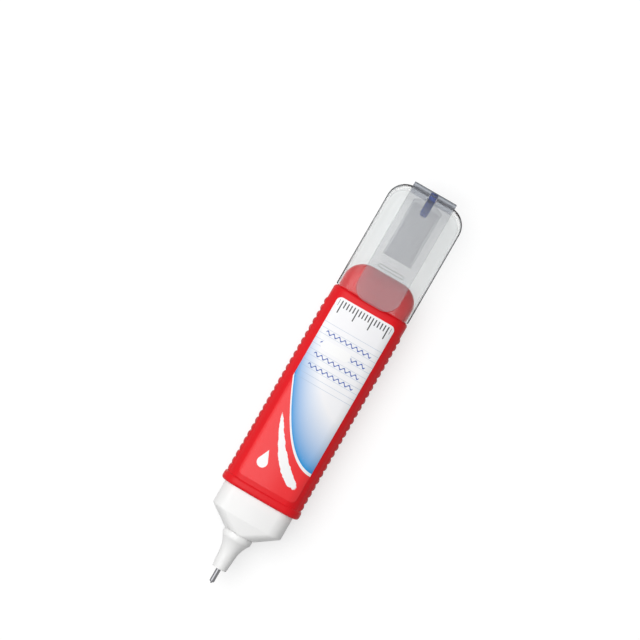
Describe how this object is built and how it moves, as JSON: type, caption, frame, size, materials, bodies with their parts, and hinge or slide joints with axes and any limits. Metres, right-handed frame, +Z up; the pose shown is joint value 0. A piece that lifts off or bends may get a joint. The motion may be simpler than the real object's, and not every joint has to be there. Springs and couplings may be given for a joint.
{
  "type": "correction pen",
  "caption": "Flat-oval squeeze correction pen with ribbed sides, white nose, needle tip and a clear clip cap posted on its rear end.",
  "frame": {"origin": "middle of the bounding box, on the surface the pen lies on", "axes": "+X along the pen from the writing tip to the cap, +Y across its width, +Z up through the label and the clip"},
  "size_m": [0.129, 0.0252, 0.0164],
  "materials": {
    "red_plastic": "satin moulded red",
    "label_film": "printed gloss film",
    "white_plastic": "satin moulded white",
    "steel": "drawn and polished",
    "valve_plastic": "natural moulded",
    "clear_plastic": "clear polished",
    "inner_cap_plastic": "translucent",
    "blue_plastic": "moulded blue"
  },
  "bodies": {
    "pen": {"barrel": "red_plastic", "front_label": "label_film", "nose_collar": "white_plastic", "nozzle": "white_plastic", "tip_tube": "steel", "spring_retainer": "valve_plastic", "valve_spring": "steel"},
    "cap": {"cap_shell": "clear_plastic", "nozzle_socket": "inner_cap_plastic", "clip_rivet": "blue_plastic", "clip_foot": "clear_plastic"},
    "clip": {"clip_blade": "clear_plastic"},
    "needle": {"valve_needle": "steel", "needle_head": "valve_plastic"},
    "ball": {"mixing_ball": "steel"}
  },
  "joints": [
    {"name": "cap_pull", "type": "slide", "parent": "pen", "child": "cap", "axis": [1, 0, 0], "range_m": [0, 0.04]},
    {"name": "clip_flex", "type": "hinge", "parent": "cap", "child": "clip", "pos_m": [0.06391, 0, 0.0158], "axis": [0, 1, 0], "range_deg": [0, 5], "stiffness_Nm_per_rad": 0.4},
    {"name": "needle_press", "type": "slide", "parent": "pen", "child": "needle", "axis": [1, 0, 0], "range_m": [0, 0.0004], "stiffness_N_per_m": 400, "springref_m": -0.001, "deforming": ["valve_spring"]},
    {"name": "ball_roll", "type": "slide", "parent": "pen", "child": "ball", "axis": [1, 0, 0], "range_m": [0, 0.0513]}
  ]
}
